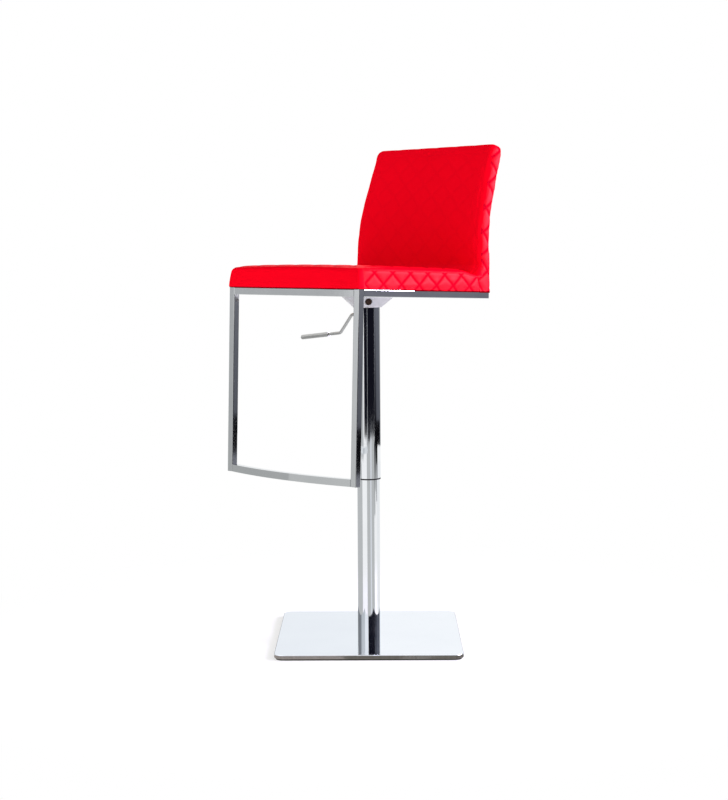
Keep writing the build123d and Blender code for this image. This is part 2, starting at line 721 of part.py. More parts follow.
nodes = {
    "floor_mat": floor_mat(),
    "base_plate": base_plate(),
    "base_bolt": base_bolt(),
    "column_plug": column_plug(),
    "column_tube": column_tube(),
    "guide_bush": guide_bush(),
    "spring_seat": spring_seat(),
    "bearing_lower_race": ring(SPIGOT_R + CLEAR, RACE_R, lower_race_z, lower_race_z + RACE_T),
    "bearing_balls": bearing_balls(),
    "bearing_cage": bearing_cage(),
    "bearing_upper_race": ring(SPIGOT_R + SEATED, RACE_R, upper_race_z, rod_z),
    "piston_rod": piston_rod(),
    "rod_clip": rod_clip(),
    "bump_stop": ring(ROD_R + SEATED, BUMP_R, rod_z, bump_top),
    "piston": piston(),
    "piston_seal": piston_seal(),
    "piston_nut": piston_nut(),
    "gas_cylinder": gas_cylinder(),
    "rod_gland": rod_gland(),
    "rod_seal": rod_seal(),
    "valve_pin": valve_pin(),
    "seat_hub": seat_hub(),
    "hub_bolts": hub_bolts(),
    "seat_dish": seat_dish(),
    "dish_bolts": dish_bolts(),
    "sleeve": sleeve(),
    "sleeve_screw": sleeve_screw(),
    "sleeve_wiper": sleeve_wiper(),
    "lever_rod": lever_rod(),
    "lever_grip": lever_grip(),
    "lever_pin": lever_pin(),
    "front_rail": end_rail(FRAME_FRONT, front_in),
    "rear_rail": end_rail(rear_in, FRAME_REAR),
    "left_rail": side_rail(1),
    "right_rail": side_rail(-1),
    "left_leg": leg(1),
    "right_leg": leg(-1),
    "footrest_bar": footrest_bar(),
    "front_cross_bar": cross_bar(-bolt_edge),
    "rear_cross_bar": cross_bar(bolt_edge),
    "corner_tabs": corner_tabs(),
    "seat_board": seat_board(),
    "board_screws": board_screws(),
    "tee_nuts": tee_nuts(),
    "seat_foam": seat_foam(),
    "seat_cover": seat_cover(),
    "left_back_upright": back_upright(1),
    "right_back_upright": back_upright(-1),
    "back_board": back_board(),
    "back_screws": back_screws(),
    "back_foam": back_foam(),
    "back_cover": back_cover(),
}

os.makedirs("parts", exist_ok=True)
for name, shape in nodes.items():
    export_step(shape, f"parts/{name}.step")
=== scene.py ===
from math import cos, radians, sin

import bmesh
import bpy
import numpy as np
from mathutils import Matrix, Vector


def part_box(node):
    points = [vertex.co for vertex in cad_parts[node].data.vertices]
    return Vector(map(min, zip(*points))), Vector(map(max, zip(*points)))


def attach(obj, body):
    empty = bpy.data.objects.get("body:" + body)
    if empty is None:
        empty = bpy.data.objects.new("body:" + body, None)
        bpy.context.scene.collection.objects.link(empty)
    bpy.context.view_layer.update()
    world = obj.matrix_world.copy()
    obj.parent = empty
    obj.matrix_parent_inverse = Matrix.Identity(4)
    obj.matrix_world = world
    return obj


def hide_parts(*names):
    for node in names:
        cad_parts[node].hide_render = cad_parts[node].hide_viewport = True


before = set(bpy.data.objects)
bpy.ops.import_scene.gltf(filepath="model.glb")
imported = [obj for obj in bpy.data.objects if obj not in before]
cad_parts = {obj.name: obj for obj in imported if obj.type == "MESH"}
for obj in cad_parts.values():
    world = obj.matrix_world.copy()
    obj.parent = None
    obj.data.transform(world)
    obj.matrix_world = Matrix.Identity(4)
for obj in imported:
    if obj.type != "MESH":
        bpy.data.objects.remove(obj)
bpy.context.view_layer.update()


# Foot: a square steel plate with rounded corners, ground, polished and chromed, with a duller cut edge.
# It stands on a thin sheet of black rubber, and one countersunk bolt from below holds the column to it.
class Value:
    """A number, colour or vector in a finish. Arithmetic adds Math nodes, and node() any other node."""

    def __init__(self, socket):
        self.socket = socket

    def node(self, kind, settings, sockets, out=0):
        tree = self.socket.id_data
        made = tree.nodes.new(kind)
        for key, setting in settings.items():
            setattr(made, key, setting)
        for key, value in sockets.items():
            if isinstance(value, Value):
                tree.links.new(value.socket, made.inputs[key])
            else:
                made.inputs[key].default_value = value
        return Value(made.outputs[out])

    def math(self, operation, *others):
        return self.node("ShaderNodeMath", {"operation": operation}, dict(enumerate((self, *others))))

    def __add__(self, other):
        return self.math("ADD", other)

    def __sub__(self, other):
        return self.math("SUBTRACT", other)

    def __rsub__(self, other):
        return self.math("MULTIPLY_ADD", -1, other)

    def __mul__(self, other):
        return self.math("MULTIPLY", other)

    __radd__ = __add__
    __rmul__ = __mul__


def new_finish(name, constants):
    """A material with one principled shader, its constants set, and where on the piece a point lies."""
    material = bpy.data.materials.new(name)
    material.use_nodes = True
    shader = material.node_tree.nodes["Principled BSDF"]
    for socket, value in constants.items():
        shader.inputs[socket].default_value = value
    place = material.node_tree.nodes.new("ShaderNodeTexCoord")
    return material, Value(place.outputs["Object"])


def feed(material, sockets):
    """Links what varies over the surface to the finish's shader."""
    shader = material.node_tree.nodes["Principled BSDF"]
    for socket, value in sockets.items():
        material.node_tree.links.new(value.socket, shader.inputs[socket])


def noise(place, scale, detail=2.0, stretch=(1, 1, 1)):
    """Cloudy noise from 0 to 1, so many cells to the metre, finer along the axes with a larger stretch."""
    moved = place.node("ShaderNodeMapping", {}, {"Vector": place, "Scale": stretch})
    return place.node("ShaderNodeTexNoise", {}, {"Vector": moved, "Scale": scale, "Detail": detail})


def ramp(value, low, high):
    """A smooth step from 0 at low to 1 at high."""
    sockets = {"Value": value, "From Min": low, "From Max": high}
    return value.node("ShaderNodeMapRange", {"interpolation_type": "SMOOTHSTEP"}, sockets)


def mix(share, first, second):
    """The first colour where share is 0 and the second where it is 1."""
    return share.node("ShaderNodeMix", {"data_type": "RGBA"}, {0: share, 6: first, 7: second}, 2)


def relief(height, depth, strength=1.0):
    """A normal for a height from 0 to 1 that stands so many metres deep."""
    return height.node("ShaderNodeBump", {}, {"Height": height, "Distance": depth, "Strength": strength})


def coat(material, *nodes):
    """Gives CAD pieces their finish."""
    for node in nodes:
        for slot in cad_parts[node].material_slots:
            slot.material = material


PLATE_ROUND = 0.0012
PLATE_FACE_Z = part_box("base_plate")[1].z - PLATE_ROUND
plate_chrome, at = new_finish("plate_chrome", {"Metallic": 1.0})
height_z = at.node("ShaderNodeSeparateXYZ", {}, {"Vector": at}, 2)
face = ramp(height_z, PLATE_FACE_Z - PLATE_ROUND / 2, PLATE_FACE_Z)
smears = noise(at, 6, 3)
hairlines = noise(at, 60, 2, (1, 30, 1))
edge_grain = noise(at, 220, 3, (1, 1, 0.1))
edge_colour = mix(edge_grain, (0.19, 0.17, 0.15, 1), (0.31, 0.29, 0.26, 1))
face_colour = mix(smears, (0.81, 0.86, 0.93, 1), (0.89, 0.94, 1.0, 1))
feed(plate_chrome, {
    "Base Color": mix(face, edge_colour, face_colour),
    "Roughness": face * (0.02 + 0.05 * smears) + (1 - face) * (0.22 + 0.18 * edge_grain),
    "Normal": relief(hairlines, 0.00002),
})
coat(plate_chrome, "base_plate")

rubber, at = new_finish("black_rubber", {"Specular IOR Level": 0.3})
pebble = at.node("ShaderNodeTexVoronoi", {}, {"Vector": at, "Scale": 900.0})
dust = noise(at, 25, 4)
feed(rubber, {
    "Base Color": mix(dust, (0.012, 0.012, 0.013, 1), (0.032, 0.031, 0.030, 1)),
    "Roughness": 0.6 + 0.3 * dust,
    "Normal": relief(pebble, 0.0002),
})
coat(rubber, "floor_mat")

zinc_steel, at = new_finish("zinc_steel", {"Metallic": 1.0})
bloom = at.node("ShaderNodeTexVoronoi", {}, {"Vector": at, "Scale": 260.0}, "Color")
bloom = bloom.node("ShaderNodeSeparateColor", {}, {"Color": bloom})
turning = noise(at, 400, 2, (0.2, 0.2, 4))
feed(zinc_steel, {
    "Base Color": mix(bloom, (0.52, 0.53, 0.55, 1), (0.68, 0.68, 0.69, 1)),
    "Roughness": 0.22 + 0.16 * turning,
    "Normal": relief(turning, 0.00005),
})
coat(zinc_steel, "base_bolt", "column_plug")

# Column: a round steel tube, polished and chromed, pressed onto its plug and standing on the plate.
# A plastic bush in its mouth guides the gas spring, whose rod turns on a small ball bearing at its foot.
tube_chrome, at = new_finish("tube_chrome", {"Metallic": 1.0})
smears = noise(at, 18, 3)
waves = noise(at, 16, 0)
feed(tube_chrome, {
    "Base Color": mix(smears, (0.80, 0.82, 0.85, 1), (0.88, 0.90, 0.92, 1)),
    "Roughness": 0.02 + 0.06 * smears,
    "Normal": relief(waves, 0.00015),
})
coat(tube_chrome, "column_tube", "bearing_lower_race", "bearing_upper_race", "bearing_balls")
coat(zinc_steel, "spring_seat")

moulded, at = new_finish("black_plastic", {"Specular IOR Level": 0.12})
grain = noise(at, 1400, 3)
haze = noise(at, 30, 3)
feed(moulded, {
    "Base Color": mix(haze, (0.005, 0.005, 0.006, 1), (0.014, 0.014, 0.015, 1)),
    "Roughness": 0.5 + 0.2 * haze,
    "Normal": relief(grain, 0.00008),
})
coat(moulded, "guide_bush", "bearing_cage")

# Gas spring: a black lacquered pressure tube over the rod's piston, closed below by a gland and a seal.
# Its tapered head is pressed into the seat's hub, and the valve pin stands out of its top.
lacquer, at = new_finish("black_lacquer", {
    "Specular IOR Level": 0.5, "Coat Weight": 0.3, "Coat Roughness": 0.15})
orange_peel = noise(at, 500, 2)
rubbed = noise(at, 40, 4, (1, 1, 0.15))
feed(lacquer, {
    "Base Color": mix(rubbed, (0.008, 0.008, 0.009, 1), (0.03, 0.03, 0.032, 1)),
    "Roughness": 0.25 + 0.25 * rubbed,
    "Normal": relief(orange_peel, 0.00006),
})
coat(lacquer, "gas_cylinder")
coat(tube_chrome, "piston_rod")
coat(rubber, "bump_stop", "rod_seal", "piston_seal")
coat(zinc_steel, "rod_clip", "piston", "piston_nut", "rod_gland", "valve_pin")

# Seat carrier: a turned hub on the spring's taper and a dish pressed from sheet steel, painted silver.
# Four bolts hold the dish and two flat bars to the seat board, and two dark cap bolts lock the hub.
silver_paint, at = new_finish("silver_paint", {"Metallic": 0.35, "Specular IOR Level": 0.5})
flake = noise(at, 2500, 1)
press_marks = noise(at, 35, 4)
feed(silver_paint, {
    "Base Color": mix(press_marks, (0.46, 0.46, 0.47, 1), (0.56, 0.56, 0.57, 1)),
    "Roughness": 0.30 + 0.12 * flake,
    "Normal": relief(flake, 0.00004),
})
coat(silver_paint, "seat_dish", "front_cross_bar", "rear_cross_bar")

black_oxide, at = new_finish("black_oxide", {"Metallic": 0.7})
blotches = noise(at, 160, 4)
feed(black_oxide, {
    "Base Color": mix(blotches, (0.030, 0.018, 0.014, 1), (0.085, 0.050, 0.038, 1)),
    "Roughness": 0.35 + 0.25 * blotches,
    "Normal": relief(blotches, 0.00008),
})
coat(black_oxide, "hub_bolts")
coat(zinc_steel, "seat_hub", "dish_bolts", "tee_nuts")

# Sleeve: a thin chromed tube fixed to the hub, hiding the gas spring and sliding down over the column.
# A set screw holds it on the hub, and a black ring pressed into its lower rim wipes the column.
coat(tube_chrome, "sleeve")
coat(moulded, "sleeve_wiper")
coat(zinc_steel, "sleeve_screw")

# Height lever: a round steel bar with two bends, pinned in the hub, with a slipped-on grip of steel tube.
# Both are brushed and plated to a satin grey, duller than the chrome of the column and the frame.
satin_plate, at = new_finish("satin_plate", {"Metallic": 1.0})
brushing = noise(at, 500, 3, (0.15, 1, 1))
smears = noise(at, 30, 3)
feed(satin_plate, {
    "Base Color": mix(smears, (0.44, 0.44, 0.43, 1), (0.54, 0.54, 0.53, 1)),
    "Roughness": 0.24 + 0.16 * brushing,
    "Normal": relief(brushing, 0.00006),
})
coat(satin_plate, "lever_rod", "lever_grip")
coat(zinc_steel, "lever_pin")

# Seat frame: square steel tube, mitred and welded into one loop with the legs and the bowed footrest.
# It is polished and chromed after welding, and plates in its corners take the seat board's screws.
frame_chrome, at = new_finish("frame_chrome", {"Metallic": 1.0})
smears = noise(at, 12, 4)
waves = noise(at, 12, 0)
polish = noise(at, 300, 2, (1, 1, 0.05))
feed(frame_chrome, {
    "Base Color": mix(smears, (0.76, 0.78, 0.79, 1), (0.88, 0.89, 0.90, 1)),
    "Roughness": 0.03 + 0.06 * smears + 0.02 * polish,
    "Normal": relief(waves, 0.0002),
})
coat(frame_chrome, "front_rail", "rear_rail", "left_rail", "right_rail")
coat(frame_chrome, "left_leg", "right_leg", "footrest_bar")
coat(silver_paint, "corner_tabs")

# Boards: plywood, the seat's flat and the back's pressed to its curve, hidden but for the seat's underside.
# Two steel uprights stand on the rear rail, and the back's board is screwed to them from behind.
plywood, at = new_finish("plywood", {"Specular IOR Level": 0.3})
figure = noise(at, 9, 5, (12, 1, 1))
pores = noise(at, 700, 2, (1, 0.05, 1))
feed(plywood, {
    "Base Color": mix(figure, (0.42, 0.27, 0.15, 1), (0.66, 0.48, 0.30, 1)),
    "Roughness": 0.55 + 0.2 * pores,
    "Normal": relief(pores, 0.0001),
})
coat(plywood, "seat_board", "back_board")
coat(zinc_steel, "left_back_upright", "right_back_upright", "board_screws", "back_screws")

# Seat cushion: foam under red leatherette, flat on the frame, with a plain front band round both corners.
# The top and the side bands are quilted in diamonds and sewn in behind a smooth rolled edge; the cover is
# turned under the board. It is swelled as cloth, then its seams and quilting are drawn in.
SEAT_TILT = radians(2)
SEAT_Z = 0.771
seat_axes = Matrix.Translation((0, 0, SEAT_Z)) @ Matrix.Rotation(-SEAT_TILT, 4, "X")


def tilted_box(node):
    """A CAD piece's lowest and highest corners in the seat's own tilted axes."""
    to_seat = seat_axes.inverted()
    points = np.array([to_seat @ v.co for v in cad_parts[node].data.vertices])
    return Vector(points.min(0)), Vector(points.max(0))


def new_piece(name, form):
    """An object from a finished bmesh."""
    mesh = bpy.data.meshes.new(name)
    form.to_mesh(mesh)
    form.free()
    piece = bpy.data.objects.new(name, mesh)
    bpy.context.scene.collection.objects.link(piece)
    return piece


def settle(piece):
    """Makes a piece's modifiers part of its mesh."""
    bpy.context.view_layer.update()
    done = bpy.data.meshes.new_from_object(piece.evaluated_get(bpy.context.evaluated_depsgraph_get()))
    piece.modifiers.clear()
    old = piece.data
    piece.data = done
    bpy.data.meshes.remove(old)


def points_of(mesh):
    """All points of a mesh, one to a row."""
    flat = np.empty(3 * len(mesh.vertices))
    mesh.vertices.foreach_get("co", flat)
    return flat.reshape(-1, 3)


def normals_of(mesh):
    """The way each point of a mesh faces, one to a row."""
    flat = np.empty(3 * len(mesh.vertices))
    mesh.vertex_normals.foreach_get("vector", flat)
    return flat.reshape(-1, 3)


def set_points(mesh, points):
    """Moves all points of a mesh."""
    mesh.vertices.foreach_set("co", points.reshape(-1).astype(np.float32))
    mesh.update()


VOXEL = 0.004
PRESSURE = 4.0
FRAMES = 20
FOAM_GIVE = 0.0005


def swell(piece, held, reach):
    """Remeshes a sewn form and blows it up as cloth, with held points pinned. A point stays within reach
    of where the foam holds it, and the foam lets it in by very little."""
    remesh = piece.modifiers.new("remesh", "REMESH")
    remesh.mode = "VOXEL"
    remesh.voxel_size = VOXEL
    settle(piece)
    start = points_of(piece.data)
    pins = piece.vertex_groups.new(name="pins")
    pins.add([int(i) for i in np.nonzero(held(start))[0]], 1.0, "REPLACE")
    cloth = piece.modifiers.new("cloth", "CLOTH")
    cloth.settings.use_pressure = True
    cloth.settings.uniform_pressure_force = PRESSURE
    cloth.settings.effector_weights.gravity = 0
    cloth.settings.vertex_group_mass = "pins"
    cloth.point_cache.frame_start = 1
    cloth.point_cache.frame_end = FRAMES
    for step in range(1, FRAMES + 1):
        bpy.context.scene.frame_set(step)
    settle(piece)
    move = points_of(piece.data) - start
    outward = (move * normals_of(piece.data)).sum(1, keepdims=True)
    limit = np.where(outward > 0, reach, FOAM_GIVE)
    far = np.linalg.norm(move, axis=1, keepdims=True)
    set_points(piece.data, start + move * limit / (limit + far))
    bpy.context.scene.frame_set(1)
    finer = piece.modifiers.new("finer", "SUBSURF")
    finer.levels = 1
    finer.render_levels = 1
    settle(piece)


def blend_in(values, low, high):
    """A smooth step from 0 at low to 1 at high."""
    share = np.clip((values - low) / (high - low), 0, 1)
    return share * share * (3 - 2 * share)


PILLOW_FLANK = 0.32
PILLOW_FADE = 0.005
SEAM_DEPTH = 0.0009
SEAM_HALF_W = 0.0022
PANEL_TURN = (0.5, 0.8)
NO_PANEL = -0.03


def draw_in(piece, laid_flat, panels):
    """Pulls the cover in along the diamonds of each panel and along the seam round it. A panel has its
    lines, the way it faces, how deep its quilting is and how strongly its lines show."""
    points = points_of(piece.data)
    normals = normals_of(piece.data)
    flat, facing = laid_flat(points, normals)
    drawn = np.zeros(len(points))
    for panel, way, puff, _ in panels:
        along, across, inside = panel(flat)
        lines = np.stack([along + across, along - across])
        gap = np.abs(lines - np.round(lines)).min(0)
        pillow = (1 - np.clip(gap / PILLOW_FLANK, 0, 1)) ** 2
        pull = puff * pillow * np.clip(inside / PILLOW_FADE, 0, 1)
        pull += min(puff, SEAM_DEPTH) * np.exp(-(inside / SEAM_HALF_W) ** 2)
        drawn += pull * blend_in(way(facing), *PANEL_TURN)
    set_points(piece.data, points - normals * drawn[:, None])


def mark_lines(piece, laid_flat, panels):
    """Keeps each face corner's place in the quilting, its way inside the seam and the lines' strength,
    then puts the piece in its place on the stool and shades it smooth."""
    mesh = piece.data
    corners = np.empty(len(mesh.loops), dtype=np.int32)
    mesh.loops.foreach_get("vertex_index", corners)
    faces = np.empty(3 * len(mesh.polygons))
    mesh.polygons.foreach_get("normal", faces)
    sizes = np.empty(len(mesh.polygons), dtype=np.int32)
    mesh.polygons.foreach_get("loop_total", sizes)
    normals = np.repeat(faces.reshape(-1, 3), sizes, axis=0)
    flat, facing = laid_flat(points_of(mesh)[corners], normals)
    kept = np.zeros((len(corners), 4))
    kept[:, 2] = NO_PANEL
    for panel, way, _, depth in panels:
        along, across, inside = panel(flat)
        here = way(facing) > cos(radians(45))
        columns = (along + across, along - across, inside, np.full(len(corners), depth))
        kept[here] = np.stack(columns, 1)[here]
    for column, name in enumerate(("stitch_first", "stitch_second", "inside_seam", "stitch_depth")):
        layer = mesh.attributes.new(name, "FLOAT", "CORNER")
        layer.data.foreach_set("value", kept[:, column].astype(np.float32))
    mesh.transform(seat_axes)
    for polygon in mesh.polygons:
        polygon.use_smooth = True


def across_way(facing):
    """How squarely a point faces sideways; the next three are for the front, the rear and the top."""
    return np.abs(facing[:, 0])


def front_way(facing):
    return facing[:, 1]


def rear_way(facing):
    return -facing[:, 1]


def top_way(facing):
    return facing[:, 2]


def block(size, centre):
    """A plain box, from which a sewn form is shaped."""
    form = bmesh.new()
    bmesh.ops.create_cube(form, size=1.0)
    bmesh.ops.scale(form, vec=size, verts=form.verts)
    bmesh.ops.translate(form, vec=centre, verts=form.verts)
    return form


def round_off(form, edges, radius, steps):
    """Rounds edges of a form."""
    bmesh.ops.bevel(form, geom=edges, offset=radius, segments=steps, profile=0.5, affect="EDGES",
                    material=-1)


def cut_level(form, height, facing=1, drop=False):
    """Cuts a form through at a height and may drop what lies beyond, on the side the cut faces."""
    everything = form.verts[:] + form.edges[:] + form.faces[:]
    bmesh.ops.bisect_plane(form, geom=everything, plane_co=(0, 0, height), plane_no=(0, 0, facing),
                           clear_outer=drop)


seat_low, seat_high = tilted_box("seat_cover")
board_low, board_high = tilted_box("seat_board")
rail_low = Vector((tilted_box("right_rail")[0].x, tilted_box("front_rail")[0].y, 0))
rail_high = Vector((tilted_box("left_rail")[1].x, seat_high.y, 0))
ROOM = 0.0004
PROUD = 0.0018
CROWN = 0.0035
CORNER_ROUND = 0.005
TOP_ROLL = 0.0085
LOW_ROLL = 0.0025
TOUCH = 1e-5
SHORTEST = 0.01
lowest = seat_low - Vector((PROUD, PROUD, 0))
highest = seat_high + Vector((PROUD, 0, -CROWN))
form = block(highest - lowest, (lowest + highest) / 2)
upright = [e for e in form.edges if abs(e.verts[0].co.z - e.verts[1].co.z) > SHORTEST]
upright = [e for e in upright if e.verts[0].co.y < 0]
round_off(form, upright, CORNER_ROUND, 3)
for level, roll in ((highest.z, TOP_ROLL), (lowest.z, LOW_ROLL)):
    rim = [e for e in form.edges if all(abs(v.co.z - level) < TOUCH for v in e.verts)]
    rim = [e for e in rim if min(v.co.y for v in e.verts) < highest.y - TOUCH]
    round_off(form, rim, roll, 4)
seat = new_piece("seat_cushion", form)

SEAT_REACH = 0.005
SEAT_HELD_H = 0.002
SEAT_HELD_END = 0.003


def seat_held(points):
    """The lower edge and the end that is sewn to the back."""
    return (points[:, 2] < seat_low.z + SEAT_HELD_H) | (points[:, 1] > highest.y - SEAT_HELD_END)


swell(seat, seat_held, SEAT_REACH)

GATHER = 0.005
GATHER_REACH = 0.035
DIP = 0.008
DIP_FROM = (0.12, 0.095)
DOME = 0.0018
DOME_END = (0.05, 0.12)
FRONT_DROOP = 0.0018
DROOP_REACH = (0.080, 0.010)
JOINT_V = 0.1545
JOINT_LEAN = 0.2
JOINT_FROM = 0.09
points = points_of(seat.data)
share_up = np.clip(points[:, 2] / highest.z, 0, 1)
outer = blend_in(np.abs(points[:, 0]), highest.x - GATHER_REACH, highest.x)
gather = GATHER * share_up ** 1.5 * outer * blend_in(-points[:, 1], -lowest.y - GATHER_REACH, -lowest.y)
dip = DIP * share_up * blend_in(np.abs(points[:, 0]), DIP_FROM[0], highest.x)
dip *= blend_in(points[:, 1], DIP_FROM[1], highest.y)
joint = JOINT_V - JOINT_LEAN * points[:, 2]
to_end = np.clip((points[:, 1] - JOINT_FROM) / (highest.y - JOINT_FROM), 0, 1)
points[:, 1] += gather - (highest.y - joint) * to_end
points[:, 0] -= np.sign(points[:, 0]) * gather
half_across = np.clip(np.abs(points[:, 0]) / highest.x, 0, 1)
front_end = blend_in(-points[:, 1], -lowest.y - DROOP_REACH[0], -lowest.y - DROOP_REACH[1])
droop = FRONT_DROOP * half_across ** 1.5 * front_end
dome = DOME * (1 - half_across ** 2) * (1 - blend_in(points[:, 1], *DOME_END))
points[:, 2] += share_up * (dome - droop) - dip
set_points(seat.data, points)

SEAT_PITCH = 0.0556
BAND_PITCH = 0.0445
BAND_MARK = (-0.0505, 0.0114)
BAND_TOP = 0.040
CORNER_SEAM = -0.220
TOP_HEM = 0.014


def seat_flat(points, normals):
    """The seat's panels lie flat as they are."""
    return points, normals


def seat_top(flat):
    """A point's place along and across the panel's diamonds, and how far inside its seam it lies."""
    inside = np.minimum(seat_high.x - TOP_HEM - np.abs(flat[:, 0]), flat[:, 1] - seat_low.y - TOP_HEM)
    return flat[:, 0] / SEAT_PITCH, flat[:, 1] / SEAT_PITCH, inside


def seat_side(flat):
    band_top = BAND_TOP - DIP * blend_in(flat[:, 1], DIP_FROM[1], seat_high.y)
    inside = np.minimum(band_top - flat[:, 2], flat[:, 1] - CORNER_SEAM)
    return (flat[:, 1] - BAND_MARK[0]) / SEAT_PITCH, (flat[:, 2] - BAND_MARK[1]) / BAND_PITCH, inside


seat_panels = ((seat_top, top_way, 0.0008, 0.45), (seat_side, across_way, 0.0020, 1.0))
draw_in(seat, seat_flat, seat_panels)

HEM_FOOT = 0.001
HEM_H = 0.009
HEM_IN = 0.006
HEM_X = rail_high.x + 0.0012
HANG = 0.0026
HANG_FROM = -0.067
HANG_BLEND = 0.008
SIDE_START = (0.008, 0.020)


def hang_hem(piece, sides):
    """Straightens the lower edge of the side bands and hangs it over the side rails behind HANG_FROM."""
    points = points_of(piece.data)
    low = 1 - blend_in(points[:, 2], HEM_FOOT, HEM_H)
    across = np.abs(points[:, 0])
    out = np.maximum(HEM_X - across, 0) * low * sides(points) * (across > HEM_X - HEM_IN)
    points[:, 0] += np.sign(points[:, 0]) * out
    over = np.clip((across + out - rail_high.x) / (HEM_X - rail_high.x), 0, 1)
    points[:, 2] -= HANG * low * over * blend_in(points[:, 1], HANG_FROM, HANG_FROM + HANG_BLEND)
    set_points(piece.data, points)


def seat_sides(points):
    """1 along the side bands and 0 round the front."""
    return blend_in(points[:, 1], lowest.y + SIDE_START[0], lowest.y + SIDE_START[1])


TRIM = 0.0010
FRONT_BLEND = 0.0015
REST = seat_low.z + 0.0003
OVER_BOARD = 0.0018
SAME_PLACE = 1e-6
mesh = seat.data
form = bmesh.new()
form.from_mesh(mesh)
cut_level(form, seat_low.z + TRIM, facing=-1, drop=True)
form.to_mesh(mesh)
form.free()
hang_hem(seat, seat_sides)
form = bmesh.new()
form.from_mesh(mesh)
for v in form.verts:
    before_rail = min(max((rail_low.y - ROOM - v.co.y) / FRONT_BLEND, 0), 1)
    v.co.z -= HANG * before_rail * (1 - min(max((v.co.z - HEM_FOOT) / HEM_H, 0), 1))
turns = ((rail_low, rail_high, None), (rail_low, rail_high, REST), (board_low, board_high, REST),
         (board_low, board_high, board_high.z + OVER_BOARD))
for low, high, height in turns:
    rim = [e for e in form.edges if e.is_boundary]
    turned = bmesh.ops.extrude_edge_only(form, edges=rim)["geom"]
    for v in turned:
        if isinstance(v, bmesh.types.BMVert):
            v.co.x = min(max(v.co.x, low.x - ROOM), high.x + ROOM)
            v.co.y = min(max(v.co.y, low.y - ROOM), high.y + ROOM)
            v.co.z = v.co.z if height is None else height
rim = [v for v in form.verts if v.is_boundary]
bmesh.ops.remove_doubles(form, verts=rim, dist=SAME_PLACE)
bmesh.ops.holes_fill(form, edges=[e for e in form.edges if e.is_boundary], sides=0)
bmesh.ops.recalc_face_normals(form, faces=form.faces)
form.to_mesh(mesh)
form.free()
mark_lines(seat, seat_flat, seat_panels)

FRAME_UP = (0, sin(SEAT_TILT), cos(SEAT_TILT))
LINE_FADE = (0.03, 0.15)
LINE_END = 0.002
SEAM_FADE = (0.0004, 0.0020)
SHADED_HEM_H = 0.0030
POLISH_TURN = (0.88, 0.99)
POLISH_TOP = (0.055, 0.075)
POLISH_REAR = (-0.20, -0.13)


def kept_value(place, name):
    """A value kept at the cover's face corners."""
    return place.node("ShaderNodeAttribute", {"attribute_name": name}, {}, "Fac")


def upward(vector):
    """How far a vector goes up from the seat's frame."""
    sockets = {0: vector, 1: FRAME_UP}
    return vector.node("ShaderNodeVectorMath", {"operation": "DOT_PRODUCT"}, sockets, "Value")


leather, at = new_finish("red_leatherette", {
    "Specular IOR Level": 0.0, "Coat Roughness": 0.5, "Coat IOR": 1.5})
off_first = kept_value(at, "stitch_first").math("PINGPONG", 0.5)
off_second = kept_value(at, "stitch_second").math("PINGPONG", 0.5)
seam = kept_value(at, "inside_seam")
depth = kept_value(at, "stitch_depth")
line = 1 - ramp(off_first.math("MINIMUM", off_second), *LINE_FADE)
line = line * ramp(seam, 0.0, LINE_END) * depth
edge = 1 - ramp(seam.math("ABSOLUTE"), *SEAM_FADE)
crease = line.math("MAXIMUM", edge * (0.08 + 0.10 * depth))
rise = upward(at) - SEAT_Z * cos(SEAT_TILT)
# Painted shadow: the lowest few millimetres of the cover, where it sits on the frame, are painted nearly
# black and lose their coat.
hem = 1 - ramp(rise, 0.0, SHADED_HEM_H)
facing_up = upward(at.node("ShaderNodeNewGeometry", {}, {}, "Normal"))
along = at.node("ShaderNodeSeparateXYZ", {}, {"Vector": at}, 1)
polished = ramp(facing_up, *POLISH_TURN) * (1 - ramp(rise, *POLISH_TOP))
polished = polished * (1 - ramp(along, *POLISH_REAR))
quilted = ramp(seam, -0.0015, 0.0005) * depth * depth
grain = noise(at, 1100, 3)
cells = at.node("ShaderNodeTexVoronoi", {}, {"Vector": at, "Scale": 700.0})
cloud = noise(at, 8, 3)
body = mix(cloud, (0.84, 0.0004, 0.010, 1), (0.90, 0.0006, 0.012, 1))
# Painted shade: the quilting lines and the seams are painted a darker red, as shade that falls in their
# creases.
crease_shaded = mix(crease, body, (0.43, 0.0006, 0.010, 1))
sheen = 0.015 + quilted * (0.12 + 0.03 * grain) + 0.5 * polished
feed(leather, {
    "Base Color": mix(hem, crease_shaded, (0.09, 0.0, 0.0015, 1)),
    "Roughness": 0.42 + 0.12 * grain + 0.2 * crease,
    "Coat Weight": sheen * (1 - crease) * (1 - hem),
    "Normal": relief(0.5 * grain + 0.5 * cells - 2.0 * crease, 0.00010),
})
mesh.materials.append(leather)
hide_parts("seat_cover", "seat_foam")
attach(seat, "seat")

# Back cushion: foam under red leatherette round a curved board, upright at its foot, leaning back above.
# Its front, rear and a band round its edge are quilted, with a smooth rolled edge between front and band.
# Its foot is sewn to the seat's rear end, where the two side bands meet.
BACK_REAR = 0.192
BACK_T = 0.035
BEND_W = 0.105
BEND_R = 0.318
LEAN = radians(17.4)
MID_R = BEND_R + BACK_T / 2
STRAIGHT_L = 0.120
BACK_L = BEND_W + MID_R * LEAN + STRAIGHT_L
HALF_W = 0.190
TOP_HALF_W = 0.1765
TAPER_FOOT = 0.060


def bent(flat):
    """From across, depth and length along the back to the seat's own axes."""
    turn = np.clip((flat[:, 2] - BEND_W) / MID_R, 0, LEAN)
    radius = BEND_R + flat[:, 1]
    beyond = np.maximum(flat[:, 2] - BEND_W - MID_R * LEAN, 0)
    v = BACK_REAR + BEND_R - radius * np.cos(turn) + beyond * sin(LEAN)
    w = np.minimum(flat[:, 2], BEND_W) + radius * np.sin(turn) + beyond * cos(LEAN)
    return np.stack([flat[:, 0], v, w], 1)


